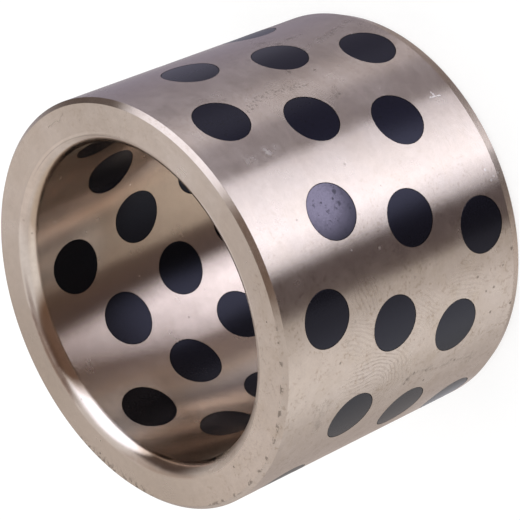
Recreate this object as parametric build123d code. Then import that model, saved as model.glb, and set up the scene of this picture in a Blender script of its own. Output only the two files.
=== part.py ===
# Graphite plugged bushing: a turned bronze sleeve with solid-lubricant plugs set through its wall.
# Millimetres. The bush stands on its lower end with its axis on +Z, and the origin is the middle
# of the lower end.
from build123d import *
import os
from math import radians, tan

# The sleeve
BORE_DIAMETER = 35.0
WALL_THICKNESS = 5.0
LENGTH = 35.0

# Its edges: a long shallow chamfer that leads the lower end into a housing, a plain chamfer
# round the upper end, and a rounded mouth at each end of the bore
LEAD_CHAMFER_LENGTH = 1.5
LEAD_CHAMFER_ANGLE = 20.0
TOP_CHAMFER = 0.5
BORE_MOUTH_RADIUS = 1.5

# The plugs: rings of evenly spaced plugs, each ring turned a little from the one above it
PLUG_DIAMETER = 6.0
RING_COUNT = 6
PLUGS_PER_RING = 6
TOP_RING_DEPTH = 6.25
BOTTOM_RING_HEIGHT = 5.6
RING_TWIST = 25.25
FIRST_PLUG_ANGLE = 7.5

# How far the drill for a plug's hole runs past the wall at either end
DRILL_OVERRUN = 1.0

bore_radius = BORE_DIAMETER / 2
outer_radius = bore_radius + WALL_THICKNESS
lead_chamfer_depth = LEAD_CHAMFER_LENGTH * tan(radians(LEAD_CHAMFER_ANGLE))
top_ring_height = LENGTH - TOP_RING_DEPTH
ring_pitch = (top_ring_height - BOTTOM_RING_HEIGHT) / (RING_COUNT - 1)
plug_spacing = 360 / PLUGS_PER_RING


def turned_sleeve():
    """The plain sleeve as it leaves the lathe, before the holes for the plugs are drilled."""
    mouth = BORE_MOUTH_RADIUS
    with BuildPart() as turned:
        with BuildSketch(Plane.XZ):
            with BuildLine():
                Polyline(
                    (bore_radius + mouth, 0),
                    (outer_radius - lead_chamfer_depth, 0),
                    (outer_radius, LEAD_CHAMFER_LENGTH),
                    (outer_radius, LENGTH - TOP_CHAMFER),
                    (outer_radius - TOP_CHAMFER, LENGTH),
                    (bore_radius + mouth, LENGTH),
                )
                RadiusArc((bore_radius + mouth, LENGTH), (bore_radius, LENGTH - mouth), -mouth)
                Line((bore_radius, LENGTH - mouth), (bore_radius, mouth))
                RadiusArc((bore_radius, mouth), (bore_radius + mouth, 0), -mouth)
            make_face()
        revolve(axis=Axis.Z)
    return turned.part


def radial_drill():
    """A round bar of the plugs' diameter that crosses the wall on +X, at the height of the origin."""
    bar = Cylinder(PLUG_DIAMETER / 2, WALL_THICKNESS + 2 * DRILL_OVERRUN)
    return Pos(bore_radius + WALL_THICKNESS / 2, 0, 0) * Rot(0, 90, 0) * bar


def graphite_plug(drill):
    """The length of the bar that fills the hole, its ends finished flush with the two walls."""
    slice_height = 2 * PLUG_DIAMETER
    wall = Cylinder(outer_radius, slice_height) - Cylinder(bore_radius, slice_height)
    return drill & wall


def station(ring, place):
    """Where a plug sits: its ring, counted down from the top, and its place round that ring."""
    height = top_ring_height - ring * ring_pitch
    angle = FIRST_PLUG_ANGLE + ring * RING_TWIST + place * plug_spacing
    return Pos(0, 0, height) * Rot(0, 0, angle)


drill = radial_drill()
plug = graphite_plug(drill)
holes = []
parts = {}
for ring in range(RING_COUNT):
    for place in range(PLUGS_PER_RING):
        holes.append(station(ring, place) * drill)
        parts[f"graphite_plug_{ring + 1}_{place + 1}"] = station(ring, place) * plug
parts["bronze_sleeve"] = turned_sleeve() - holes

os.makedirs("parts", exist_ok=True)
for name, part in parts.items():
    export_step(part, f"parts/{name}.step")
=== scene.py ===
"""Looks of the graphite plugged bushing: a worn, finely turned bronze sleeve with graphite plugs."""

import math
import random

import bpy
from mathutils import Matrix, Vector
from mathutils.geometry import delaunay_2d_cdt


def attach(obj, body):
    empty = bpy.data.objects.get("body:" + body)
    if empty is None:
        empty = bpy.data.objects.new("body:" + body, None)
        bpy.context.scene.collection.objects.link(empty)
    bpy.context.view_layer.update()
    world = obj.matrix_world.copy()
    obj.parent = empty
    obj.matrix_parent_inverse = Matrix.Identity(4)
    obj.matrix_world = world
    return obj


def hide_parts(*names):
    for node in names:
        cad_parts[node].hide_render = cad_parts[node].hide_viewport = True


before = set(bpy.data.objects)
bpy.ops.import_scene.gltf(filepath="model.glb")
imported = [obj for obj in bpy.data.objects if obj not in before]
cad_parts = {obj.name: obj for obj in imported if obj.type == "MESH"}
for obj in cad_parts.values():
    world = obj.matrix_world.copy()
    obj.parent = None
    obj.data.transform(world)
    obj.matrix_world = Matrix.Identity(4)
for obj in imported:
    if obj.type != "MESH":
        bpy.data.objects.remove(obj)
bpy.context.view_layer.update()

MM = 0.001
DEGREE = math.pi / 180

# The bush, in millimetres. Angles are in degrees about +Z from +X, as in the CAD model.
OUTER_RADIUS = 22.5
BORE_RADIUS = 17.5
MID_RADIUS = (OUTER_RADIUS + BORE_RADIUS) / 2
LENGTH = 35.0
TOP_CHAMFER = 0.5
LEAD_CHAMFER_LENGTH = 1.5
LEAD_CHAMFER_ANGLE = 20
LEAD_CHAMFER_DEPTH = LEAD_CHAMFER_LENGTH * math.tan(LEAD_CHAMFER_ANGLE * DEGREE)
PLUG_RADIUS = 3.0
RING_COUNT = 6
PLUGS_PER_RING = 6
TOP_RING_HEIGHT = 28.75
RING_PITCH = 4.63
RING_TWIST = 25.25
FIRST_PLUG_ANGLE = 7.5

# The rounded mouth of the bore: the radius of its edge on the end face, and how far its normal
# has turned from the axis at that edge and where it meets the bore
MOUTH_EDGE = 18.869
MOUTH_START = 18 * DEGREE
MOUTH_STOP = 77 * DEGREE

# Small wear on the bronze. The foot of the lead chamfer is rounded more on one side.
EDGE_ROUNDING = 0.07
LEAD_ROUNDING = 3 * EDGE_ROUNDING
LOWER_ROUNDING = 0.12
LOWER_WEAR = 0.5
LOWER_WEAR_SIDE = -125
RIM_BEVEL = 0.05
RIM_CORNER_SINK = 0.6
RIM_INSIDE_SINK = 2

# A plug is a little smaller than its hole, with ends just under the walls and soft edges
PLUG_GAP = 0.004
PLUG_SINK = 0.01
PLUG_EDGE = 0.03
PLUG_COLLAR = 0.12

# How finely the pieces are divided
COLUMNS = 720
COLUMN_STEP = 360 / COLUMNS
CORNER_STEPS = 3
WORN_CORNER_STEPS = 6
UPPER_FACE_STEPS = 7
LOWER_FACE_STEPS = 6
UPPER_MOUTH_STEPS = 36
LOWER_MOUTH_STEPS = 12
MOUTH_MARGIN = 0.02
RIM_SEGMENTS = 72
RIM_MARGIN = 0.5
WALL_STEP = 1.1
PLUG_END_RINGS = (0.6, 1.2, 1.8, 2.3, 2.7)

# For delaunay_2d_cdt: triangles inside the outline only, and how near two points count as one
INSIDE_ONLY = 1
SAME_POINT = 1e-5


# -------- points and rings


def polar(angle, radius, height):
    """A point round the axis, its angle in degrees."""
    return (radius * math.cos(angle * DEGREE), radius * math.sin(angle * DEGREE), height)


def new_object(name, data):
    """An object in the scene for a mesh or a camera."""
    found = bpy.data.objects.new(name, data)
    bpy.context.scene.collection.objects.link(found)
    return found


class Shell:
    """Vertices with a normal each, and the faces between them."""

    def __init__(self):
        self.points = []
        self.normals = []
        self.faces = []

    def add(self, point, normal):
        self.points.append(point)
        self.normals.append(Vector(normal).normalized())
        return len(self.points) - 1

    def ring_strip(self, first, second):
        """Quads between two closed rings of equally many vertices."""
        count = len(first)
        for i in range(count):
            j = (i + 1) % count
            self.faces.append((first[i], first[j], second[j], second[i]))

    def skin(self, rings, turned=False):
        """Quads from each closed ring to the next. Turned, they face the other way."""
        for first, second in zip(rings, rings[1:]):
            if turned:
                self.ring_strip(second, first)
            else:
                self.ring_strip(first, second)

    def to_object(self, name):
        mesh = bpy.data.meshes.new(name)
        mesh.from_pydata([Vector(p) * MM for p in self.points], [], self.faces)
        mesh.polygons.foreach_set("use_smooth", [True] * len(mesh.polygons))
        mesh.validate()
        mesh.normals_split_custom_set_from_vertices(self.normals)
        mesh.update()
        return new_object(name, mesh)


# -------- turned ends

# A profile is a list of points (r, z, nr, nz): radius, height and the normal's two parts there


def rounded_corner(before, corner, after, rounding, steps):
    """The fillet at a corner of a profile that turns to its left."""
    a = (Vector(before) - Vector(corner)).normalized()
    b = (Vector(after) - Vector(corner)).normalized()
    half = a.angle(b) / 2
    reach = rounding / math.tan(half)
    centre = Vector(corner) + (a + b).normalized() * rounding / math.sin(half)
    start = Vector(corner) + a * reach - centre
    stop = Vector(corner) + b * reach - centre
    found = []
    for i in range(steps + 1):
        n = start.slerp(stop, i / steps).normalized()
        p = centre + n * rounding
        found.append((p.x, p.y, n.x, n.y))
    return found


def mouth_arc(edge_height, facing, steps):
    """The rounded mouth of the bore, from the end face to the bore's wall."""
    rounding = (MOUTH_EDGE - BORE_RADIUS) / (math.sin(MOUTH_STOP) - math.sin(MOUTH_START))
    centre_radius = MOUTH_EDGE + rounding * math.sin(MOUTH_START)
    centre_height = edge_height - facing * rounding * math.cos(MOUTH_START)
    found = []
    for i in range(steps + 1):
        turn = MOUTH_START + (MOUTH_STOP - MOUTH_START) * i / steps
        nr = -math.sin(turn)
        nz = facing * math.cos(turn)
        found.append((centre_radius + rounding * nr, centre_height + rounding * nz, nr, nz))
    return found


def face_points(start, stop, steps, height, facing):
    """Points across an end face, from one radius to another."""
    return [(start + (stop - start) * i / steps, height, 0, facing) for i in range(steps + 1)]


def upper_profile(_angle):
    """The top end, the same at every angle: from the outer wall over the face and into the bore."""
    shoulder = (OUTER_RADIUS, LENGTH - TOP_CHAMFER)
    brow = (OUTER_RADIUS - TOP_CHAMFER, LENGTH)
    mouth = mouth_arc(LENGTH, 1, UPPER_MOUTH_STEPS)
    profile = rounded_corner((OUTER_RADIUS, LENGTH / 2), shoulder, brow, EDGE_ROUNDING, CORNER_STEPS)
    profile += rounded_corner(shoulder, brow, (MID_RADIUS, LENGTH), EDGE_ROUNDING, CORNER_STEPS)
    face_start = profile[-1][0]
    face_stop = mouth[0][0] + MOUTH_MARGIN
    profile += face_points(face_start, face_stop, UPPER_FACE_STEPS, LENGTH, 1)[1:]
    return profile + mouth + [(BORE_RADIUS, mouth[-1][1] - MOUTH_MARGIN, -1, 0)]


def lower_profile(angle):
    """The bottom end at one angle, from the bore over the face and onto the outer wall."""
    brow = (OUTER_RADIUS - LEAD_CHAMFER_DEPTH, 0)
    shoulder = (OUTER_RADIUS, LEAD_CHAMFER_LENGTH)
    worn = max(0, math.cos((angle - LOWER_WEAR_SIDE) * DEGREE)) ** 2
    rounding = LOWER_ROUNDING + LOWER_WEAR * worn
    edge = rounded_corner((MID_RADIUS, 0), brow, shoulder, rounding, WORN_CORNER_STEPS)
    mouth = mouth_arc(0, -1, LOWER_MOUTH_STEPS)[::-1]
    face_start = mouth[-1][0] + MOUTH_MARGIN
    face_stop = edge[0][0]
    profile = [(BORE_RADIUS, mouth[0][1] + MOUTH_MARGIN, -1, 0)] + mouth
    profile += face_points(face_start, face_stop, LOWER_FACE_STEPS, 0, -1)[:-1]
    profile += edge
    profile += rounded_corner(brow, shoulder, (OUTER_RADIUS, LENGTH / 2), LEAD_ROUNDING, CORNER_STEPS)
    return profile


def turned_end(shell, profile_at):
    """Revolves an end's profile. Returns its first and last ring of vertices."""
    columns = []
    for i in range(COLUMNS):
        angle = 360 * i / COLUMNS
        rows = profile_at(angle)
        columns.append([shell.add(polar(angle, r, z), polar(angle, nr, nz)) for r, z, nr, nz in rows])
    rings = list(zip(*columns))
    shell.skin(rings)
    return rings[0], rings[-1]


# -------- plugs' holes


def stations():
    """Ring, place, angle in degrees and height in millimetres of every plug."""
    for ring in range(RING_COUNT):
        for place in range(PLUGS_PER_RING):
            angle = FIRST_PLUG_ANGLE + ring * RING_TWIST + place * 360 / PLUGS_PER_RING
            yield ring, place, angle, TOP_RING_HEIGHT - ring * RING_PITCH


def hole_turns():
    """The directions of the vertices round a hole's axis, in radians."""
    return [2 * math.pi * i / RIM_SEGMENTS for i in range(RIM_SEGMENTS)]


def drilled(angle, height, wall_radius, across, turn):
    """The point of a wall at a distance and direction from a hole's axis."""
    side = across * math.cos(turn)
    out = math.sqrt(wall_radius ** 2 - side ** 2)
    c, s, _level = polar(angle, 1, 0)
    return Vector((out * c - side * s, out * s + side * c, height + across * math.sin(turn)))


def from_hole_axis(angle, turn):
    """The unit vector that points away from a hole's axis."""
    c, s, _level = polar(angle, 1, 0)
    return Vector((-math.cos(turn) * s, math.cos(turn) * c, math.sin(turn)))


def radially(point, facing):
    """The unit vector out of the outer wall at a point, or out of the bore's wall."""
    return Vector((point[0], point[1], 0)).normalized() * facing


def rim_rings(shell, angle, height, wall_radius, facing):
    """The three rings of a hole's rim: on the wall, on its worn corner and just inside the hole."""
    on_wall = []
    on_corner = []
    inside = []
    for turn in hole_turns():
        away = from_hole_axis(angle, turn)
        start = drilled(angle, height, wall_radius, PLUG_RADIUS + RIM_BEVEL, turn)
        edge = drilled(angle, height, wall_radius, PLUG_RADIUS, turn)
        normal = radially(edge, facing)
        on_wall.append(shell.add(start, radially(start, facing)))
        on_corner.append(shell.add(edge - normal * RIM_BEVEL * RIM_CORNER_SINK, normal - away))
        inside.append(shell.add(edge - normal * RIM_BEVEL * RIM_INSIDE_SINK, -away))
    return [on_wall, on_corner, inside]


# -------- walls


def seam_angle(height):
    """A line that climbs between the plugs, where a wall's flat pattern is cut."""
    start = FIRST_PLUG_ANGLE + 180 / PLUGS_PER_RING
    climb = (TOP_RING_HEIGHT - height) * RING_TWIST / RING_PITCH
    return start + round(climb / COLUMN_STEP) * COLUMN_STEP


class FlatWall:
    """A wall unrolled flat, to be triangulated round the openings for the plugs."""

    def __init__(self, shell, radius, facing, low, high):
        self.shell = shell
        self.radius = radius
        self.facing = facing
        self.low = low
        self.high = high
        self.rows = round((high - low) / WALL_STEP)
        self.flat = []
        self.owner = []
        self.edges = []
        self.centres = []
        self.hole_of = {}

    def flat_point(self, angle, height):
        return Vector((angle * DEGREE * self.radius, height))

    def place(self, angle, height, index):
        """Lays one of the shell's vertices on the pattern."""
        self.flat.append(self.flat_point(angle, height))
        self.owner.append(index)
        return len(self.flat) - 1

    def new_vertex(self, angle, height):
        return self.shell.add(polar(angle, self.radius, height), polar(angle, self.facing, 0))

    def chain(self, ids, closed=False):
        """Makes edges of the pattern from each point to the next."""
        following = ids[1:] + ids[:1] if closed else ids[1:]
        self.edges.extend(zip(ids, following))

    def seam(self, share):
        """The angle and height of the seam at a share of the wall's height."""
        start = seam_angle(self.low)
        angle = start + (seam_angle(self.high) - start) * share
        return angle, self.low + (self.high - self.low) * share

    def lay_ring(self, ring, height):
        """Lays a ring of vertices at the wall's lower or upper end."""
        first = round(seam_angle(height) / COLUMN_STEP)
        ids = []
        for column in range(first, first + COLUMNS + 1):
            ids.append(self.place(column * COLUMN_STEP, height, ring[column % COLUMNS]))
        self.chain(ids)
        return ids

    def lay_seam(self, bottom, top):
        """Lays the seam's vertices, each on both sides of the pattern."""
        left = [bottom[0]]
        right = [bottom[-1]]
        for row in range(1, self.rows):
            angle, height = self.seam(row / self.rows)
            index = self.new_vertex(angle, height)
            left.append(self.place(angle, height, index))
            right.append(self.place(angle + 360, height, index))
        self.chain(left + [top[0]])
        self.chain(right + [top[-1]])

    def lay_rim(self, angle, height, ring):
        """Lays the ring of vertices round one opening."""
        seam = self.seam((height - self.low) / (self.high - self.low))[0]
        turned = seam + (angle - seam) % 360
        self.centres.append(self.flat_point(turned, height))
        ids = []
        for index in ring:
            x, y, z = self.shell.points[index]
            at = math.degrees(math.atan2(y, x))
            at += 360 * round((turned - at) / 360)
            ids.append(self.place(at, z, index))
            self.hole_of[index] = len(self.centres)
        self.chain(ids, closed=True)

    def fill(self):
        """Spreads staggered rows of new vertices over the rest of the wall."""
        across = round(2 * math.pi * self.radius / WALL_STEP)
        for row in range(1, self.rows):
            seam, height = self.seam(row / self.rows)
            for i in range(1, across):
                angle = seam + 360 * (i + 0.5 * (row % 2)) / (across + 0.5)
                spot = self.flat_point(angle, height)
                if min((spot - centre).length for centre in self.centres) > PLUG_RADIUS + RIM_MARGIN:
                    self.place(angle, height, self.new_vertex(angle, height))

    def triangulate(self):
        """Adds the wall's faces to the shell and leaves its openings empty."""
        result = delaunay_2d_cdt(self.flat, self.edges, [], INSIDE_ONLY, SAME_POINT)
        faces = result[2]
        origins = result[3]
        for face in faces:
            corners = tuple(self.owner[origins[i][0]] for i in face)
            holes = {self.hole_of.get(index) for index in corners}
            in_hole = len(holes) == 1 and None not in holes
            if len(set(corners)) == 3 and not in_hole:
                self.shell.faces.append(corners if self.facing > 0 else corners[::-1])


def wall(shell, radius, facing, low_ring, high_ring, rims):
    """A wall between two rings of vertices, with an opening inside each rim."""
    low = shell.points[low_ring[0]][2]
    high = shell.points[high_ring[0]][2]
    pattern = FlatWall(shell, radius, facing, low, high)
    bottom = pattern.lay_ring(low_ring, low)
    top = pattern.lay_ring(high_ring, high)
    pattern.lay_seam(bottom, top)
    for angle, height, ring in rims:
        pattern.lay_rim(angle, height, ring)
    pattern.fill()
    pattern.triangulate()


def bronze_sleeve():
    """The sleeve: two turned ends, two walls and a tunnel through them for each plug."""
    shell = Shell()
    outer_high, bore_high = turned_end(shell, upper_profile)
    bore_low, outer_low = turned_end(shell, lower_profile)
    outer_rims = []
    bore_rims = []
    for _ring, _place, angle, height in stations():
        outer = rim_rings(shell, angle, height, OUTER_RADIUS, 1)
        inner = rim_rings(shell, angle, height, BORE_RADIUS, -1)
        outer_rims.append((angle, height, outer[0]))
        bore_rims.append((angle, height, inner[0]))
        shell.skin(outer + inner[::-1], turned=True)
    wall(shell, OUTER_RADIUS, 1, outer_low, outer_high, outer_rims)
    wall(shell, BORE_RADIUS, -1, bore_low, bore_high, bore_rims)
    return shell.to_object("turned_bronze_sleeve")


# -------- plugs


def plug_end(shell, angle, height, wall_radius, facing):
    """Rings of vertices over one end of a plug, from near its centre to just inside the hole."""
    radius = PLUG_RADIUS - PLUG_GAP
    rings = []
    for across in (*PLUG_END_RINGS, radius - PLUG_EDGE):
        points = [drilled(angle, height, wall_radius, across, turn) for turn in hole_turns()]
        rings.append([shell.add(point, radially(point, facing)) for point in points])
    edge = []
    collar = []
    for turn in hole_turns():
        away = from_hole_axis(angle, turn)
        point = drilled(angle, height, wall_radius, radius, turn)
        normal = radially(point, facing)
        edge.append(shell.add(point - normal * PLUG_EDGE, normal + away))
        collar.append(shell.add(point - normal * PLUG_COLLAR, away))
    return rings + [edge, collar]


def close_end(shell, angle, height, wall_radius, facing, ring):
    """Triangles from the centre of a plug's end to its innermost ring."""
    centre = drilled(angle, height, wall_radius, 0, 0)
    hub = shell.add(centre, radially(centre, facing))
    for i in range(RIM_SEGMENTS):
        corners = (hub, ring[i], ring[(i + 1) % RIM_SEGMENTS])
        shell.faces.append(corners if facing > 0 else corners[::-1])


def graphite_plug(ring, place, angle, height):
    """One plug, its two ends finished almost flush with the walls."""
    shell = Shell()
    outer_radius = OUTER_RADIUS - PLUG_SINK
    inner_radius = BORE_RADIUS + PLUG_SINK
    outer = plug_end(shell, angle, height, outer_radius, 1)
    inner = plug_end(shell, angle, height, inner_radius, -1)
    close_end(shell, angle, height, outer_radius, 1, outer[0])
    close_end(shell, angle, height, inner_radius, -1, inner[0])
    shell.skin(outer + inner[::-1], turned=True)
    return shell.to_object(f"graphite_{ring + 1}_{place + 1}")


# -------- shader nodes

# Sockets of the Mix node when it mixes colours
MIX_SHARE = 0
MIX_FIRST = 6
MIX_SECOND = 7
MIX_RESULT = 2


class Graph:
    """Adds shader nodes to a material, one short call each. Values may be sockets or numbers."""

    def __init__(self, name):
        self.material = bpy.data.materials.new(name)
        self.material.use_nodes = True
        self.tree = self.material.node_tree
        self.shader = self.tree.nodes["Principled BSDF"]

    def feed(self, socket, value):
        if isinstance(value, bpy.types.NodeSocket):
            self.tree.links.new(value, socket)
        elif isinstance(value, (tuple, list)) and len(socket.default_value) == 4:
            socket.default_value = (*value[:3], 1)
        else:
            socket.default_value = value

    def surface(self, name, value):
        """Feeds one of the shader's own sockets."""
        self.feed(self.shader.inputs[name], value)

    def node(self, kind, *values):
        """A new node, with its first sockets fed in order."""
        node = self.tree.nodes.new(kind)
        for socket, value in zip(node.inputs, values):
            self.feed(socket, value)
        return node

    def math(self, operation, *values):
        node = self.node("ShaderNodeMath", *values)
        node.operation = operation
        return node.outputs[0]

    def add(self, a, b):
        return self.math("ADD", a, b)

    def sub(self, a, b):
        return self.math("SUBTRACT", a, b)

    def mul(self, *factors):
        product = factors[0]
        for factor in factors[1:]:
            product = self.math("MULTIPLY", product, factor)
        return product

    def most(self, a, b):
        return self.math("MAXIMUM", a, b)

    def any_of(self, marks):
        found = marks[0]
        for mark in marks[1:]:
            found = self.most(found, mark)
        return found

    def vector(self, operation, *values):
        """Vector arithmetic that gives a vector."""
        node = self.node("ShaderNodeVectorMath", *values)
        node.operation = operation
        return node.outputs["Vector"]

    def measure(self, operation, *values):
        """Vector arithmetic that gives a number."""
        node = self.node("ShaderNodeVectorMath", *values)
        node.operation = operation
        return node.outputs["Value"]

    def scaled(self, vector, factor):
        node = self.node("ShaderNodeVectorMath", vector)
        node.operation = "SCALE"
        self.feed(node.inputs["Scale"], factor)
        return node.outputs["Vector"]

    def join(self, x, y, z):
        return self.node("ShaderNodeCombineXYZ", x, y, z).outputs[0]

    def split(self, vector):
        return self.node("ShaderNodeSeparateXYZ", vector).outputs

    def noise_node(self, vector, scale, detail=2.0, roughness=0.5):
        node = self.node("ShaderNodeTexNoise", vector)
        node.inputs["Scale"].default_value = scale
        node.inputs["Detail"].default_value = detail
        node.inputs["Roughness"].default_value = roughness
        return node

    def noise(self, vector, scale, detail=2.0, roughness=0.5):
        return self.noise_node(vector, scale, detail, roughness).outputs["Fac"]

    def ramp(self, value, low, high, at_low=0.0, at_high=1.0):
        """A smooth step of a value between two levels."""
        node = self.node("ShaderNodeMapRange", value, low, high, at_low, at_high)
        node.interpolation_type = "SMOOTHSTEP"
        return node.outputs[0]

    def fall(self, value, low, high):
        """A smooth step down: 1 up to the low level, 0 from the high one."""
        return self.ramp(value, low, high, 1.0, 0.0)

    def mix(self, share, first, second, blend="MIX"):
        node = self.tree.nodes.new("ShaderNodeMix")
        node.data_type = "RGBA"
        node.blend_type = blend
        self.feed(node.inputs[MIX_SHARE], share)
        self.feed(node.inputs[MIX_FIRST], first)
        self.feed(node.inputs[MIX_SECOND], second)
        return node.outputs[MIX_RESULT]

    def bump(self, height, distance, before=None):
        node = self.tree.nodes.new("ShaderNodeBump")
        node.inputs["Distance"].default_value = distance
        self.feed(node.inputs["Height"], height)
        if before is not None:
            self.feed(node.inputs["Normal"], before)
        return node.outputs[0]

    def millimetres(self):
        """The place on the object, in millimetres."""
        return self.scaled(self.node("ShaderNodeTexCoord").outputs["Object"], 1 / MM)


class BushGraph(Graph):
    """The nodes of a material that knows its place on the bush."""

    def __init__(self, name):
        super().__init__(name)
        self.place = self.millimetres()
        self.x, self.y, self.z = self.split(self.place)
        self.radius = self.measure("LENGTH", self.join(self.x, self.y, 0.0))

    def toward(self, angle, low, high):
        """How far toward one side of the bush the place is: 0 at the low distance, 1 at the high."""
        side = polar(angle, 1, 0)
        return self.ramp(self.measure("DOT_PRODUCT", self.place, side), low, high)

    def ragged(self, scale, amount):
        """The place, shifted a little by noise, so that what is drawn there has ragged edges."""
        colour = self.noise_node(self.place, scale).outputs["Color"]
        shift = self.vector("SUBTRACT", colour, (0.5, 0.5, 0.5))
        return self.vector("ADD", self.place, self.scaled(shift, amount))

    def on_wall(self, angle, height):
        """Flat coordinates on the outer wall about a spot on it."""
        c, s, _level = polar(angle, 1, 0)
        side = self.measure("DOT_PRODUCT", self.place, (-s, c, 0.0))
        return self.join(side, self.sub(self.z, height), 0.0)

    def wall_about(self, angle):
        """1 at and near the outer wall about an angle, 0 elsewhere."""
        return self.toward(angle, 18.5, 19.5)

    def speck(self, place, angle, radius, height, size):
        distance = self.measure("DISTANCE", place, polar(angle, radius, height))
        return self.fall(distance, size * 0.45, size)

    def stain(self, place, angle, height, size):
        """A round spot on the outer wall, strongest at its middle."""
        return self.fall(self.measure("DISTANCE", place, polar(angle, OUTER_RADIUS, height)), 0.0, size)

    def stroke(self, place, start, stop, width):
        """A straight mark between two points, each an angle, a radius and a height."""
        start = Vector(polar(*start))
        axis = Vector(polar(*stop)) - start
        length = axis.length
        axis.normalize()
        along = self.sub(self.measure("DOT_PRODUCT", place, axis), start.dot(axis))
        along = self.math("MINIMUM", self.most(along, 0.0), length)
        foot = self.vector("ADD", self.scaled(tuple(axis), along), tuple(start))
        return self.fall(self.measure("DISTANCE", place, foot), width * 0.4, width)

    def wall_stroke(self, place, start, stop, width):
        """A mark on the outer wall between two points, each an angle and a height."""
        first = (start[0], OUTER_RADIUS, start[1])
        last = (stop[0], OUTER_RADIUS, stop[1])
        return self.stroke(place, first, last, width)


# -------- marks on the bronze

# The marks that the photograph shows. A size is a radius in millimetres.

# Angle, height and size of specks of dirt on the wall
WALL_SPECKS = (
    (-119.8, 7.1, 0.2), (-125.0, 4.6, 0.24), (-125.1, 5.8, 0.2), (-132.6, 4.8, 0.2),
    (-144.4, 16.6, 0.26), (-143.1, 16.3, 0.3), (-142.0, 15.5, 0.26), (-147.2, 13.3, 0.22),
    (-119.7, 3.2, 0.16), (-126.1, 27.4, 0.2), (-47.5, 13.9, 0.24),
    (-44.6, 16.5, 0.36), (-144.9, 8.9, 0.22), (-143.1, 13.5, 0.2), (-144.5, 16.6, 0.22),
    (-147.7, 13.2, 0.18), (-116.1, 1.7, 0.26), (-132.8, 1.6, 0.3), (-58.2, 14.3, 0.3),
)

# Angle, radius and size of specks of dirt on the face
FACE_SPECKS = (
    (-108, 20.8, 0.16), (-165, 19.55, 0.16), (-143, 22.1, 0.2), (144.2, 21.9, 0.26),
    (127.7, 21.3, 0.2), (3.6, 20.8, 0.12),
)

# Corners of a crooked scratch on the face, and of a smear and an arc of dots on the wall
SCRATCH = ((3.6, 20.8), (1.6, 20.81), (-0.9, 20.95), (-2.0, 20.64), (-3.5, 21.0), (-5.5, 21.35))
SMEAR = ((-144.5, 16.8), (-141.4, 14.9), (-143.0, 13.4), (-144.9, 8.9), (-146.3, 5.9))
DOTTED_ARC = ((-52.2, 25.3), (-50.3, 22.4), (-49.8, 19.4), (-50.8, 16.7))

# Start, stop and width of dark rubs on the wall
RUBS = (
    ((-37.5, 12.0), (-35.0, 7.2), 0.5),
    ((-35.0, 7.2), (-31.5, 2.2), 0.5),
    ((-30.0, 12.6), (-28.6, 8.4), 0.4),
)

# Angle, height, size and strength of stains on the wall
STAINS = (
    (-58.6, 14.8, 1.5, 0.75), (-56.4, 13.8, 0.9, 0.6), (-138.2, 29.3, 1.9, 0.5),
    (-144.1, 29.6, 1.6, 0.5), (-147.5, 5.9, 1.2, 0.5), (-121.5, 26.6, 0.9, 0.3),
    (-26.0, 13.7, 1.6, 0.3), (-119.0, 6.4, 1.6, 0.3),
)

# Angle, height and size of specks on the wall painted light, as painted glints
GLINT_SPECKS = (
    (-100.8, 20.0, 0.18), (-96.3, 2.6, 0.2), (-93.2, 2.9, 0.16), (-102.6, 15.2, 0.13),
    (-98.4, 23.6, 0.13), (-95.2, 1.2, 0.18), (-95.6, 2.1, 0.13),
)

# Angle, height and size of pits in the one plug that is rubbed
PLUG_PITS = (
    (-86.1, 22.8, 0.26), (-84.2, 24.9, 0.16), (-82.9, 22.7, 0.34), (-88.4, 21.8, 0.22),
    (-84.4, 23.3, 0.18),
)

DOT_COUNT = 60
DOT_SIZE = 0.15
DOT_SEED = 3


def finger_print(g, core, tail, patch, reach, pitch=0.475):
    """Ridges of a print, pitch apart: loops round a core and its tail, seen within a patch."""
    spot = g.on_wall(*core)
    bend = g.mul(g.sub(g.noise(spot, scale=0.17, detail=1.0), 0.5), 3.2)
    bend = g.add(bend, g.mul(g.sub(g.noise(spot, scale=0.8, detail=1.0), 0.5), 0.35))
    foot = (0.0, 0.0, 0.0)
    length = Vector(tail).length
    if length:
        axis = (tail[0] / length, tail[1] / length, 0.0)
        along = g.measure("DOT_PRODUCT", spot, axis)
        foot = g.scaled(axis, g.math("MINIMUM", g.most(along, 0.0), length))
    distance = g.add(g.measure("DISTANCE", spot, foot), bend)
    wave = g.math("SINE", g.mul(distance, 2 * math.pi / pitch))
    breaks = g.mul(g.sub(g.noise(spot, scale=1.7, detail=3.0), 0.5), 2.4)
    lines = g.ramp(g.add(wave, breaks), -0.3, 1.0)
    seen = g.fall(g.measure("LENGTH", g.on_wall(*patch)), reach * 0.4, reach)
    return g.mul(lines, g.wall_about(core[0]), seen)


def prints(g):
    """Prints of the hands that have held it."""
    whorl = finger_print(g, core=(-139.6, 21.0), tail=(0.9, 5.4), patch=(-137.6, 21.6), reach=6.4)
    upper = finger_print(g, core=(-113, 30), tail=(0, 0), patch=(-111.5, 23.2), reach=2.6)
    left = finger_print(g, core=(-134, 27), tail=(0, 3), patch=(-121.5, 24.2), reach=3.6)
    middle = finger_print(g, core=(-139.6, 21.0), tail=(0.9, 5.4), patch=(-122.7, 15.2), reach=3.2)
    right = finger_print(g, core=(-134, 9), tail=(0, 2), patch=(-120, 8.7), reach=3.6)
    dabs = finger_print(g, core=(-60.5, 19.8), tail=(0, 0), patch=(-55.8, 19.0), reach=4.4, pitch=0.42)
    faint = g.any_of([upper, g.mul(left, 0.6), g.mul(middle, 0.55), g.mul(right, 0.6)])
    broken = g.ramp(g.noise(g.place, scale=3.2), 0.36, 0.6, 0.25, 1.0)
    return g.mul(g.any_of([whorl, g.mul(faint, 0.8), g.mul(dabs, 1.2)]), broken)


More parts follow.
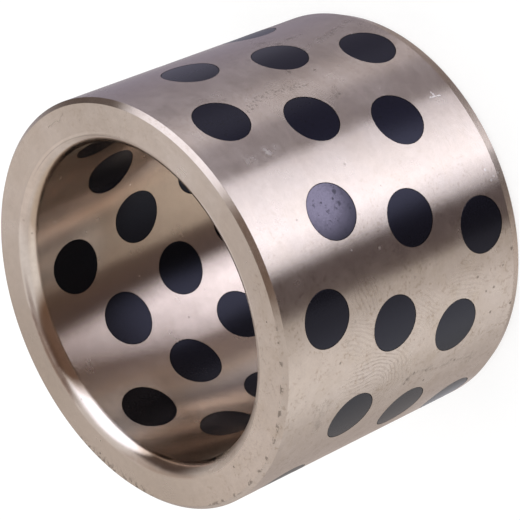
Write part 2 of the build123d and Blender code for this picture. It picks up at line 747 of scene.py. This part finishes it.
def dotted_arc(g):
    """Small specks scattered along an arc on the outer wall."""
    place = g.ragged(scale=6.0, amount=0.16)
    draw = random.Random(DOT_SEED)
    legs = len(DOTTED_ARC) - 1
    marks = []
    for i in range(DOT_COUNT):
        share = i / (DOT_COUNT - 1) * legs
        leg = min(int(share), legs - 1)
        share -= leg
        start_angle, start_height = DOTTED_ARC[leg]
        stop_angle, stop_height = DOTTED_ARC[leg + 1]
        angle = start_angle * (1 - share) + stop_angle * share + draw.uniform(-1.3, 1.3)
        height = start_height * (1 - share) + stop_height * share + draw.uniform(-0.4, 0.4)
        marks.append(g.speck(place, angle, OUTER_RADIUS, height, DOT_SIZE * draw.uniform(0.6, 1.2)))
    return g.any_of(marks)


def specks_and_scratch(g, rough):
    """Specks of dirt on the wall and the face, and a faint crooked scratch on the face."""
    marks = []
    for angle, height, size in WALL_SPECKS:
        marks.append(g.mul(g.speck(rough, angle, OUTER_RADIUS, height, size), 0.7))
    for angle, radius, size in FACE_SPECKS:
        marks.append(g.mul(g.speck(rough, angle, radius, LENGTH, size), 0.8))
    for start, stop in zip(SCRATCH, SCRATCH[1:]):
        marks.append(g.mul(g.stroke(rough, (*start, LENGTH), (*stop, LENGTH), 0.12), 0.22))
    return marks


def smears_and_stains(g, rough):
    """A smear, rubs and stains on the wall, all of them patchy."""
    marks = []
    patchy = g.ramp(g.noise(g.place, scale=1.6, detail=3.0), 0.44, 0.62)
    for start, stop in zip(SMEAR, SMEAR[1:]):
        marks.append(g.mul(g.wall_stroke(rough, start, stop, 0.55), g.mul(patchy, 0.32)))
    blotchy = g.ramp(g.noise(g.place, scale=1.1, detail=4.0, roughness=0.65), 0.42, 0.66)
    for start, stop, width in RUBS:
        marks.append(g.mul(g.wall_stroke(rough, start, stop, width), g.mul(blotchy, 0.5)))
    for angle, height, size, strength in STAINS:
        marks.append(g.mul(g.stain(rough, angle, height, size), g.mul(blotchy, strength)))
    return marks


def dirt(g):
    """Specks of dirt and dark scratches, where the photograph shows them."""
    rough = g.ragged(scale=3.0, amount=0.35)
    marks = specks_and_scratch(g, rough) + smears_and_stains(g, rough)
    return g.any_of(marks + [g.mul(dotted_arc(g), 0.6)])


def dust(g):
    """Fine specks all over, of uneven size."""
    cells = g.node("ShaderNodeTexVoronoi", g.place)
    cells.inputs["Scale"].default_value = 0.6
    sizes = g.ramp(g.split(cells.outputs["Color"])[0], 0.6, 1.0)
    return g.ramp(g.sub(g.mul(sizes, 0.12), cells.outputs["Distance"]), 0.0, 0.06)


def worn_edge(g):
    """Chips and grime along the upper edge, on the sides where the photograph shows them."""
    bites = g.noise(g.place, scale=1.25, detail=4.0, roughness=0.66)
    on_edge = g.mul(g.ramp(g.radius, 21.66, 21.9), g.fall(g.radius, 22.02, 22.2), g.ramp(g.z, 34.4, 34.7))
    chips = g.mul(on_edge, g.toward(-147, 16.0, 19.0), g.ramp(bites, 0.52, 0.59))
    grit = g.noise(g.place, scale=2.0, detail=4.0, roughness=0.7)
    by_edge = g.mul(g.ramp(g.radius, 20.6, 21.9), g.ramp(g.z, 34.3, 34.6))
    grime = g.mul(by_edge, g.toward(134, 20.2, 21.8), g.ramp(grit, 0.48, 0.6))
    return g.most(g.mul(chips, 0.75), g.mul(grime, 0.8))


def scratches_and_glints(g):
    """Light scratches and a light smudge, and specks painted light as painted glints."""
    rough = g.ragged(scale=3.0, amount=0.3)
    marks = [g.wall_stroke(rough, (-68.0, 4.1), (-69.6, 4.0), 0.13)]
    marks.append(g.wall_stroke(rough, (-69.3, 4.7), (-69.8, 3.4), 0.11))
    for angle, height, size in GLINT_SPECKS:
        marks.append(g.speck(rough, angle, OUTER_RADIUS, height, size))
    smudge = g.ramp(g.noise(g.place, scale=1.4, detail=3.0), 0.36, 0.62)
    streak = g.wall_stroke(g.place, (-66.4, 26.0), (-67.4, 29.8), 0.7)
    spot = g.stain(g.place, -66.7, 27.3, 1.1)
    marks.append(g.mul(g.most(spot, g.mul(streak, 0.3)), smudge, 0.6))
    return g.any_of(marks)


# -------- bronze

CLEAN_BRONZE = (0.497, 0.415, 0.362)
CLOUDED_BRONZE = (0.458, 0.377, 0.323)
BLOOM = (0.425, 0.345, 0.283)
# Painted shade on one side of the upper face
FACE_SHADE = (0.400, 0.320, 0.262)
TARNISH = (0.400, 0.318, 0.250)
TARNISH_SPECKLE = (0.290, 0.218, 0.165)
BORE_BRONZE = (0.502, 0.388, 0.299)
FAR_BORE_BRONZE = (0.496, 0.398, 0.345)
# Painted shade in the bore
BORE_SHADE = (0.33, 0.235, 0.165)
# Painted highlights in the bore
BORE_HIGHLIGHT = (0.66, 0.56, 0.48)
# Painted highlights on the bore's mouth
MOUTH_HIGHLIGHT = (0.66, 0.58, 0.53)
MOUTH_GRIME = (0.250, 0.160, 0.120)
GREASE = (0.20, 0.155, 0.13)
SOIL = (0.10, 0.075, 0.06)
# Bare metal at scratches, and painted glints
BARE_METAL_AND_GLINT = (0.88, 0.82, 0.78)

# Where a thin line of painted shade runs round the top of the mouth
GROOVE_SHADE_RADIUS = 18.58
CLOUD_BUMP = 0.007 * MM
LINE_BUMP = 0.0007 * MM


def bore_shade(g, in_bore):
    """Where the bore is painted darker: painted shade high up on two sides and along the middle of a
    third.
    """
    right = g.mul(g.toward(22, 15.2, 17.2), g.ramp(g.z, 23.0, 28.0), 0.4)
    left = g.mul(g.toward(155, 15.8, 17.3), g.ramp(g.z, 24.0, 29.0), 0.3)
    middle = g.mul(g.toward(52, 16.9, 17.5), g.ramp(g.z, 6.0, 11.0), g.fall(g.z, 23.0, 29.0), 0.5)
    return g.mul(g.any_of([left, right, middle]), in_bore)


def bore_highlights(g, in_bore):
    """Streaks of painted highlight along the bore, two high up and one lower down."""
    right = g.mul(g.toward(62, 16.9, 17.5), g.ramp(g.z, 23.0, 28.0))
    left = g.mul(g.toward(127, 16.9, 17.5), g.ramp(g.z, 24.0, 29.0))
    low = g.mul(g.toward(141, 16.8, 17.5), g.ramp(g.z, 7.0, 11.0), g.fall(g.z, 23.0, 27.0))
    return g.mul(g.any_of([left, right, low]), in_bore, 0.9)


def bore_colour(g, colour):
    """The bore's warmer bronze, with streaks of painted shade and of painted highlight."""
    in_bore = g.fall(g.radius, 17.7, 18.1)
    colour = g.mix(in_bore, colour, BORE_BRONZE)
    colour = g.mix(g.mul(g.toward(97, 16.4, 17.4), in_bore), colour, FAR_BORE_BRONZE)
    # Painted shade: darker streaks in the bore
    colour = g.mix(bore_shade(g, in_bore), colour, BORE_SHADE)
    # Painted highlights: lighter streaks along the bore
    return g.mix(bore_highlights(g, in_bore), colour, BORE_HIGHLIGHT)


def mouth_colour(g, colour, mottle):
    """The bore's rounded mouth: lighter with painted highlights in places, grimy in others."""
    ring = g.mul(g.ramp(g.z, 33.2, 33.6), g.fall(g.radius, 18.7, 19.15))
    # Painted highlights: a crescent and two patches on the mouth, painted lighter
    crescent = g.mul(g.toward(125, 16.6, 18.0), 0.5)
    left_highlight = g.mul(g.toward(66, 17.0, 18.2), 0.6)
    near_highlight = g.mul(g.toward(-88, 17.5, 18.3), 0.9)
    colour = g.mix(g.mul(g.any_of([crescent, left_highlight, near_highlight]), ring), colour, MOUTH_HIGHLIGHT)
    far_grime = g.mul(g.toward(94, 17.7, 18.2), 0.75)
    left_grime = g.mul(g.toward(155, 17.4, 18.2), 0.5)
    grimy = g.mul(g.most(far_grime, left_grime), ring, g.ramp(mottle, 0.3, 0.6, 0.6, 1.0))
    return g.mix(grimy, colour, MOUTH_GRIME)


def tarnished_colour(g, cloud):
    """The bronze's colour, cloudy all over and more tarnished on some sides, and darker and warmer on one
    side of the upper face with painted shade.
    """
    colour = g.mix(g.ramp(cloud, 0.3, 0.72), CLOUDED_BRONZE, CLEAN_BRONZE)
    bloom = g.noise(g.place, scale=0.11)
    colour = g.mix(g.mul(g.ramp(bloom, 0.5, 0.72), 0.35), colour, BLOOM)
    on_face = g.ramp(g.z, 34.8, 34.95)
    # Painted shade: one side of the upper face darker and warmer
    colour = g.mix(g.mul(g.toward(128, 3.0, 21.0), on_face, 0.9), colour, FACE_SHADE)
    patches = g.ramp(g.noise(g.place, scale=0.42, detail=5.0, roughness=0.62), 0.5, 0.72)
    colour = g.mix(g.mul(patches, g.toward(-150, 6.0, 20.0), 0.4), colour, TARNISH)
    speckled = g.most(g.toward(-140, 8.0, 19.0), g.mul(g.toward(-18, 12.0, 20.5), 0.6))
    fine = g.ramp(g.noise(g.place, scale=2.4, detail=4.0, roughness=0.7), 0.5, 0.66)
    broad = g.ramp(g.noise(g.place, scale=0.55, detail=3.0), 0.40, 0.56)
    return g.mix(g.mul(fine, speckled, broad, 0.6), colour, TARNISH_SPECKLE)


def turning_marks(g):
    """Fine lines and broader strokes of the turning tool, round the walls and the faces alike."""
    along = g.add(g.z, g.mul(g.radius, 1.37))
    lines_at = g.join(g.mul(g.x, 0.1), g.mul(g.y, 0.1), g.mul(along, 4.6))
    strokes_at = g.join(g.mul(g.x, 0.3), g.mul(g.y, 0.3), g.mul(along, 1.5))
    lines = g.noise(lines_at, scale=1.0, detail=3.0, roughness=0.6)
    return lines, g.noise(strokes_at, scale=1.0, detail=3.0)


def shading(g, lines, strokes, grain, mottle):
    """How much of the colour is left by the turning lines, the grain and a thin line of painted shade by
    the mouth.
    """
    shade = g.add(0.955, g.mul(lines, 0.05))
    for noise, strength in ((strokes, 0.07), (grain, 0.12), (mottle, 0.2)):
        shade = g.add(shade, g.mul(g.sub(noise, 0.5), strength))
    # Painted shade: a thin darker line at the top of the mouth, on one side
    groove_shade = g.fall(g.math("ABSOLUTE", g.sub(g.radius, GROOVE_SHADE_RADIUS)), 0.02, 0.06)
    groove_shade = g.mul(groove_shade, g.mul(g.toward(-6, 15.5, 17.5), g.ramp(g.z, 34.5, 34.6)))
    shade = g.mul(shade, g.sub(1.0, g.mul(groove_shade, 0.25)))
    return g.join(shade, shade, shade)


def bronze_roughness(g, cloud, strokes, grease, marks):
    """Duller under grease and marks, and smoother in the bore's mouth, save on its near side."""
    near_side = g.ramp(g.toward(-140, 13.6, 16.0), 0.0, 1.0, 1.0, -0.2)
    mouth = g.mul(g.ramp(g.z, 33.3, 33.8), g.fall(g.radius, 18.8, 19.0), near_side)
    rough = g.add(0.235, g.mul(g.ramp(cloud, 0.3, 0.75), 0.03))
    rough = g.sub(g.add(rough, g.mul(strokes, 0.02)), g.mul(mouth, 0.13))
    rough = g.add(rough, g.mul(grease, 0.1))
    return g.add(rough, g.mul(marks, 0.1))


def bronze_relief(g, cloud, lines, grain):
    """A wall that isn't quite even, under fine turning lines."""
    height = g.add(g.mul(cloud, 0.7), g.mul(g.noise(g.place, scale=1.6, detail=3.0), 0.3))
    normal = g.bump(height, CLOUD_BUMP)
    return g.bump(g.add(lines, g.mul(grain, 0.5)), LINE_BUMP, normal)


def stretch_highlights(g):
    """Draws highlights out across the turning lines."""
    tangent = g.node("ShaderNodeTangent")
    tangent.direction_type = "RADIAL"
    tangent.axis = "Z"
    g.surface("Tangent", tangent.outputs["Tangent"])
    g.surface("Anisotropic", 1.0)
    g.surface("Anisotropic Rotation", 0.25)


def bronze_material():
    """Fine-turned bronze: faint turning lines, cloudy tarnish, specks, prints and scratches."""
    g = BushGraph("turned_bronze")
    lines, strokes = turning_marks(g)
    cloud = g.noise(g.place, scale=0.34, detail=4.0, roughness=0.55)
    grain = g.noise(g.place, scale=4.5, detail=3.0, roughness=0.7)
    mottle = g.noise(g.place, scale=1.2, detail=5.0, roughness=0.65)
    soil = g.any_of([g.mul(dust(g), 0.3), dirt(g), worn_edge(g)])
    grease = prints(g)
    glints_and_scratches = scratches_and_glints(g)

    colour = bore_colour(g, tarnished_colour(g, cloud))
    colour = mouth_colour(g, colour, mottle)
    colour = g.mix(1.0, colour, shading(g, lines, strokes, grain, mottle), "MULTIPLY")
    colour = g.mix(g.mul(grease, 0.21), colour, GREASE)
    colour = g.mix(g.mul(soil, 0.8), colour, SOIL)
    # Bare metal at the scratches, and painted glints at the specks
    colour = g.mix(g.mul(glints_and_scratches, 0.6), colour, BARE_METAL_AND_GLINT)

    g.surface("Base Color", colour)
    rough = bronze_roughness(g, cloud, strokes, grease, g.most(soil, glints_and_scratches))
    g.surface("Roughness", rough)
    g.surface("Normal", bronze_relief(g, cloud, lines, grain))
    g.surface("Metallic", 1.0)
    stretch_highlights(g)
    return g.material


# -------- graphite

BORE_GRAPHITE = ((0.0044, 0.0043, 0.0048), (0.0086, 0.0084, 0.0094))
NEUTRAL_GRAPHITE = ((0.0034, 0.0032, 0.0046), (0.0066, 0.0062, 0.0090))
# Painted blue light on the side of the plugs toward +X
BLUE_LIT_GRAPHITE = ((0.0056, 0.0053, 0.0118), (0.0108, 0.0102, 0.0226))
GRAPHITE_PATCH = (0.0062, 0.0060, 0.0095)
PIT = (0.005, 0.005, 0.006)
# Painted sheen on the rubbed plug
RUBBED_SHEEN_GRAPHITE = (0.092, 0.079, 0.099)
GRAPHITE_TINT = (0.74, 0.69, 1.0)
GRAPHITE_BUMP = 0.004 * MM
RUBBED_PLUG = (-83.5, 25.2)


def graphite_pits(g):
    """Small pits scattered over the plugs, and the ones seen on the rubbed plug."""
    rough = g.ragged(scale=4.0, amount=0.3)
    pits = [g.ramp(g.noise(g.place, scale=2.3, roughness=0.6), 0.6, 0.68, 0.0, 0.6)]
    for angle, height, size in PLUG_PITS:
        pits.append(g.speck(rough, angle, OUTER_RADIUS, height, size))
    return g.any_of(pits)


def graphite_sheen_rub(g, pits, grain):
    """The one plug whose face is rubbed, with its sheen painted as a metallic patch that fades from a spot
    off its centre.
    """
    near = g.fall(g.measure("LENGTH", g.on_wall(*RUBBED_PLUG)), 0.8, 6.6)
    rubbed = g.mul(near, g.wall_about(RUBBED_PLUG[0]))
    return g.mul(rubbed, g.sub(1.0, g.mul(pits, 0.5)), g.add(0.7, g.mul(grain, 0.6)))


def graphite_colour(g, grain, outside):
    """Nearly black: neutral in the bore and toward -X; toward +X bluish, with painted blue light on that
    side.
    """
    # Painted light: bluish toward +X, as if lit blue from that side
    colour = g.mix(g.ramp(g.x, -8.0, 8.0), g.mix(grain, *NEUTRAL_GRAPHITE), g.mix(grain, *BLUE_LIT_GRAPHITE))
    patches = g.noise(g.place, scale=0.5)
    colour = g.mix(g.mul(patches, 0.3), colour, GRAPHITE_PATCH)
    return g.mix(outside, g.mix(grain, *BORE_GRAPHITE), colour)


def graphite_material():
    """Pressed graphite: nearly black, finely grained and a little glossy, with a few pits, and bluish on
    one side with painted light.
    """
    g = BushGraph("graphite")
    grain = g.noise(g.place, scale=5.0, detail=3.0, roughness=0.6)
    outside = g.ramp(g.radius, 19.0, 21.0)
    pits = graphite_pits(g)
    rubbed = graphite_sheen_rub(g, pits, grain)

    colour = graphite_colour(g, grain, outside)
    colour = g.mix(g.mul(pits, 0.8), colour, PIT)
    # Painted sheen on the rubbed plug, fading across it
    colour = g.mix(rubbed, colour, RUBBED_SHEEN_GRAPHITE)
    g.surface("Base Color", colour)
    g.surface("Metallic", rubbed)

    sides = g.ramp(g.math("ABSOLUTE", g.x), 18.0, 21.5)
    rough = g.add(g.add(0.17, g.mul(grain, 0.07)), g.mul(sides, 0.12))
    g.surface("Roughness", rough)
    height = g.sub(g.mul(grain, 0.5), pits)
    g.surface("Normal", g.bump(height, GRAPHITE_BUMP))
    dull = g.mul(g.toward(55, 13.5, 16.5), g.sub(1.0, outside))
    g.surface("Specular IOR Level", g.sub(0.19, g.mul(dull, 0.11)))
    g.surface("Specular Tint", GRAPHITE_TINT)
    return g.material


# -------- the studio

# The photograph's camera, fitted to the bush's outline and plugs. It is in front, above and rolled.
PHOTO_WIDTH = 520
FOCAL_LENGTH_PIXELS = 2670.09
SENSOR_WIDTH = 36
CAMERA_PLACE = (0, -0.226835, 0.193029)
CAMERA_RIGHT = Vector((-0.395117, -0.563007, -0.725883))
CAMERA_DOWN = Vector((-0.918628, 0.240287, 0.313663))
CAMERA_FORWARD = Vector((-0.002174, 0.79075, -0.612135))

FLOOR_REACH = 4.0
FLOOR_DEPTH = -0.02 * MM
FLOOR_GREY = (0.36, 0.36, 0.36)
FLOOR_GLOW = 0.72
WHITE = (1, 1, 1)

# Cards of the light tent, which only reflections see. Each is a patch of a sphere round the bush:
# the angles about +Z where it starts and stops, how softly it fades at either end, its lowest and
# highest elevation, how softly it fades there, its colour, and for some, how far its sides move
# together from TAPER_TOP down to TAPER_BOTTOM.
CARDS = (
    ("front_fill", (166, 225), (22, 22), (-85, 0), 8, (1.56, 1.61, 1.66)),
    ("table_side", (84, 182), (20, 58), (-85, 0), 6, (0.65, 0.595, 0.57)),
    ("far_dim", (52, 124), (16, 16), (-8, 24), 10, (0.72, 0.68, 0.66)),
    ("grey_side", (-100, 50), (3, 30), (-85, -2), 6, (0.36, 0.34, 0.405)),
    ("blue_side", (14, 78), (26, 20), (-85, -2), 6, (0.51, 0.49, 0.62)),
    ("side_streak", (-34, 2), (12, 16), (-54, -2), 18, (0.95, 0.94, 1.03), (24, 0)),
    ("below", (-180, 180), (1, 1), (-89, -46), 14, (0.19, 0.135, 0.092)),
    ("steep_left", (150, 250), (20, 20), (-85, -40), 12, (0.27, 0.22, 0.18)),
    ("steep_right", (-14, 72), (20, 20), (-85, -42), 12, (0.42, 0.35, 0.31)),
    ("under", (-34, 60), (24, 24), (-89, -68), 8, (0.44, 0.41, 0.42)),
    ("under_left", (116, 212), (24, 18), (-89, -50), 10, (1.00, 0.92, 0.87)),
    ("under_glint", (-90, -22), (14, 20), (-89, -66), 8, (1.70, 1.68, 1.72)),
    ("key", (-112, -48.2), (8, 6), (-85, -4), 8, (3.0, 3.2, 3.7), (0, 32)),
    ("dark_gap", (-130.5, -97), (6, 10), (-85, -2), 6, (0.13, 0.11, 0.125), (0, -18)),
    ("front_dark", (-136, -52), (24, 12), (-2, 86), 12, (0.24, 0.165, 0.125)),
    ("face_fill", (62, 170), (45, 25), (22, 66), 14, (1.14, 1.12, 1.11)),
    ("overhead", (-180, 180), (1, 1), (68, 90), 12, (0.46, 0.40, 0.38)),
    ("upper_key", (-58, 20), (16, 18), (-12, 74), 20, (2.2, 2.35, 2.7)),
    ("side_dark", (10, 74), (8, 32), (-14, 50), 14, (0.17, 0.140, 0.130)),
)
TENT_RADIUS = 1.2
TENT_STEP = 0.05
TAPER_TOP = -32
TAPER_BOTTOM = -62
CARD_COLUMNS = 40
CARD_ROWS = 24

# Two things close behind the bush: their place in millimetres, size and colour
PATCHES = (
    ("far_glare", (-30, 23), 12, (1.20, 1.20, 1.28)),
    ("far_shade", (19, 25), 20, (0.06, 0.06, 0.07)),
)
PATCH_HEIGHT = -20
PATCH_CORE = 0.35


def camera():
    data = bpy.data.cameras.new("photo_camera")
    data.sensor_width = SENSOR_WIDTH
    data.lens = FOCAL_LENGTH_PIXELS / PHOTO_WIDTH * SENSOR_WIDTH
    data.clip_start = 0.02
    data.clip_end = 20
    view = new_object("photo_camera", data)
    axes = Matrix((CAMERA_RIGHT, -CAMERA_DOWN, -CAMERA_FORWARD)).transposed()
    view.matrix_world = Matrix.Translation(CAMERA_PLACE) @ axes.to_4x4()
    bpy.context.scene.camera = view


def white_world():
    world = bpy.data.worlds.new("white_studio")
    world.use_nodes = True
    background = world.node_tree.nodes["Background"]
    background.inputs["Color"].default_value = (*WHITE, 1)
    background.inputs["Strength"].default_value = 1.0
    bpy.context.scene.world = world


def square(name, x, y, z, reach):
    """A level square about a point."""
    corners = [(x - reach, y - reach, z), (x + reach, y - reach, z)]
    corners += [(x + reach, y + reach, z), (x - reach, y + reach, z)]
    mesh = bpy.data.meshes.new(name)
    mesh.from_pydata(corners, [], [(0, 1, 2, 3)])
    return mesh


def floor():
    """A plain white floor. To the eye it is as white as the world above it, and it keeps the shadow."""
    mesh = square("floor", 0, 0, FLOOR_DEPTH, FLOOR_REACH)
    plane = new_object("floor", mesh)
    g = Graph("white_floor")
    paths = g.node("ShaderNodeLightPath").outputs
    seen = g.most(paths["Is Camera Ray"], g.most(paths["Is Glossy Ray"], paths["Is Transmission Ray"]))
    g.surface("Base Color", FLOOR_GREY)
    g.surface("Roughness", 1.0)
    g.surface("Specular IOR Level", 0.0)
    g.surface("Emission Color", WHITE)
    g.surface("Emission Strength", g.mul(seen, FLOOR_GLOW))
    mesh.materials.append(g.material)
    plane.visible_glossy = False
    plane.visible_shadow = False


def glow(g, mesh, name, share, colour):
    """Gives a mesh a glowing material that is clear where its share is 0. Only reflections see it."""
    light = g.node("ShaderNodeEmission", colour)
    clear = g.node("ShaderNodeBsdfTransparent")
    mixed = g.node("ShaderNodeMixShader", share, clear.outputs[0], light.outputs[0])
    g.feed(g.tree.nodes["Material Output"].inputs["Surface"], mixed.outputs[0])
    g.tree.nodes.remove(g.shader)
    mesh.materials.append(g.material)
    piece = new_object(name, mesh)
    piece.visible_camera = False
    piece.visible_diffuse = False
    piece.visible_shadow = False


def card_mesh(name, distance, start, stop, low, high):
    """A patch of a sphere, with angle and elevation as its UV map."""
    points = []
    spots = []
    for i in range(CARD_COLUMNS + 1):
        angle = start + (stop - start) * i / CARD_COLUMNS
        for k in range(CARD_ROWS + 1):
            elevation = low + (high - low) * k / CARD_ROWS
            reach = distance * math.cos(elevation * DEGREE)
            points.append(polar(angle, reach, distance * math.sin(elevation * DEGREE)))
            spots.append((i / CARD_COLUMNS, k / CARD_ROWS))
    faces = []
    for i in range(CARD_COLUMNS):
        for k in range(CARD_ROWS):
            a = i * (CARD_ROWS + 1) + k
            b = a + CARD_ROWS + 1
            faces.append((a, a + 1, b + 1, b))
    mesh = bpy.data.meshes.new(name)
    mesh.from_pydata(points, [], faces)
    layer = mesh.uv_layers.new(name="UVMap")
    for loop in mesh.loops:
        layer.data[loop.index].uv = spots[loop.vertex_index]
    return mesh


def card(index, name, angles, fades, elevations, rise, colour, taper=(0, 0)):
    """A glowing card, soft at its edges. A later card stands in front of an earlier one."""
    start, stop = angles
    low, high = elevations
    spread_left = min(taper[0], 0)
    spread_right = min(taper[1], 0)
    distance = TENT_RADIUS - TENT_STEP * index
    mesh = card_mesh(name, distance, start + spread_left, stop - spread_right, low, high)
    g = Graph(name)
    across, up = g.split(g.node("ShaderNodeTexCoord").outputs["UV"])[:2]
    across = g.add(g.mul(across, stop - start - spread_left - spread_right), spread_left)
    taper_height = TAPER_TOP - TAPER_BOTTOM
    steep = g.math("MULTIPLY_ADD", up, (low - high) / taper_height, (TAPER_TOP - low) / taper_height)
    steep = g.math("MINIMUM", g.most(steep, 0.0), 1.0)
    begin = g.mul(steep, taper[0])
    end = g.sub(stop - start, g.mul(steep, taper[1]))
    share = g.mul(g.ramp(g.sub(across, begin), 0.0, fades[0]), g.ramp(g.sub(end, across), 0.0, fades[1]))
    fade = rise / (high - low)
    share = g.mul(share, g.mul(g.ramp(up, 0.0, fade), g.fall(up, 1 - fade, 1.0)))
    glow(g, mesh, name, share, colour)


def patch(name, centre, reach, colour):
    """A soft round card close to the bush, a little below its lower end."""
    x, y = centre
    mesh = square(name, x * MM, y * MM, PATCH_HEIGHT * MM, reach * MM)
    g = Graph(name)
    distance = g.measure("DISTANCE", g.millimetres(), (x, y, PATCH_HEIGHT))
    glow(g, mesh, name, g.fall(distance, reach * PATCH_CORE, reach), colour)


# -------- the bush and its studio

sleeve = bronze_sleeve()
sleeve.data.materials.append(bronze_material())
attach(sleeve, "root")
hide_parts("bronze_sleeve")
graphite = graphite_material()
for ring, place, angle, height in stations():
    plug = graphite_plug(ring, place, angle, height)
    plug.data.materials.append(graphite)
    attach(plug, "root")
    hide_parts(f"graphite_plug_{ring + 1}_{place + 1}")

camera()
white_world()
floor()
for index, settings in enumerate(CARDS):
    card(index, *settings)
for settings in PATCHES:
    patch(*settings)
bpy.context.scene.view_settings.view_transform = "Standard"
